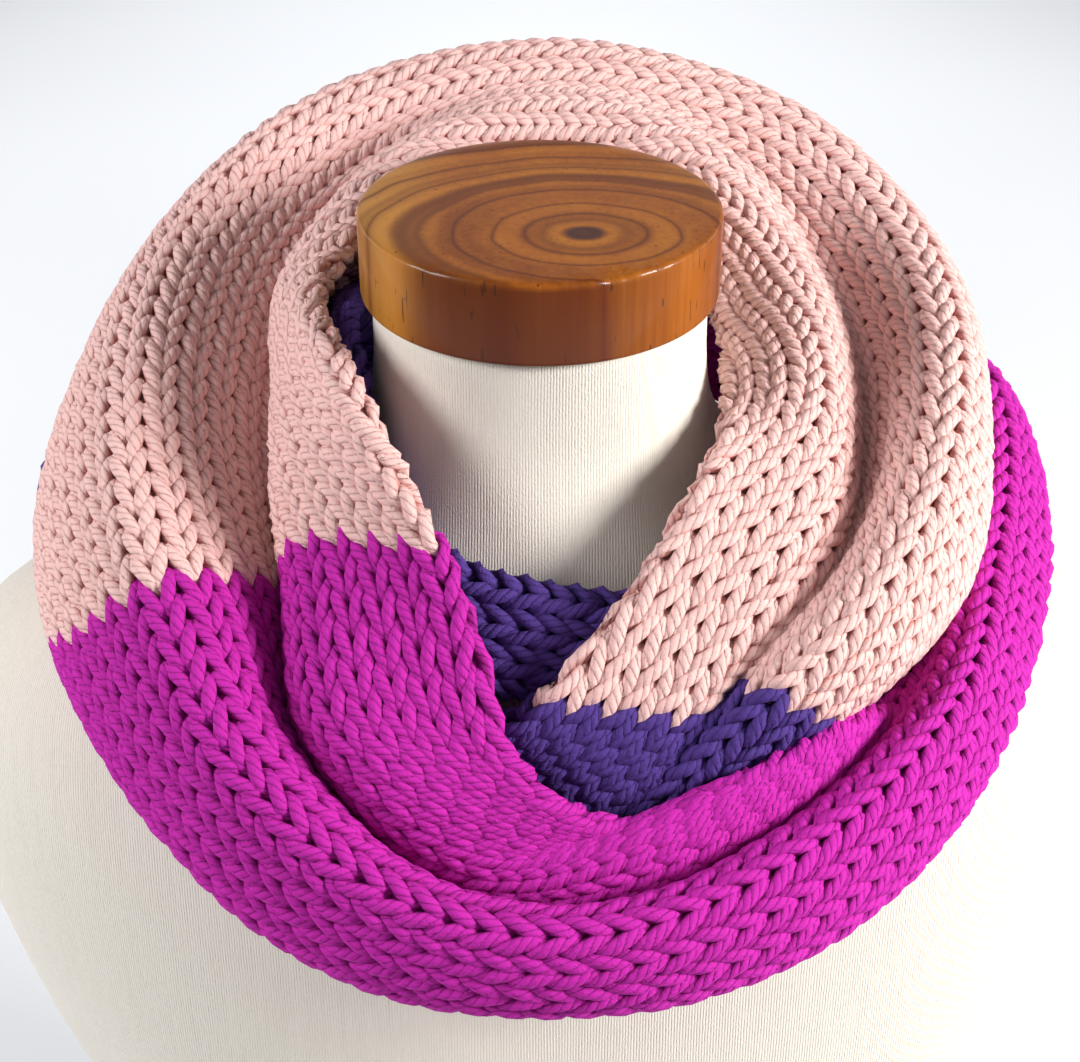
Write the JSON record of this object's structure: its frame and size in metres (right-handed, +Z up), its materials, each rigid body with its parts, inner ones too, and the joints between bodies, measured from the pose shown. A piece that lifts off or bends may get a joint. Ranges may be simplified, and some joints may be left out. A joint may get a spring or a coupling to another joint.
{
  "type": "infinity scarf on a limbless dress form",
  "caption": "Chunky knitted loop scarf in pink, magenta and purple, worn in two turns on a plain limbless dress form with a round wooden neck cap.",
  "frame": {"origin": "on the flat base of the dress form, straight below the centre of its neck cap", "axes": "+Z up along the neck, -Y towards the wearer's front, +X towards the wearer's left"},
  "size_m": [0.4314, 0.3174, 0.6097],
  "materials": {
    "jersey": "matte",
    "varnished_wood": "gloss varnish",
    "pink_knit": "matte knit",
    "magenta_knit": "matte knit",
    "purple_knit": "matte knit"
  },
  "bodies": {
    "root": {"dress_form": "jersey", "neck_cap": "varnished_wood", "purple_front_stretch": "purple_knit", "pink_stretch": "pink_knit", "magenta_stretch": "magenta_knit", "purple_neck_stretch": "purple_knit"}
  },
  "joints": []
}
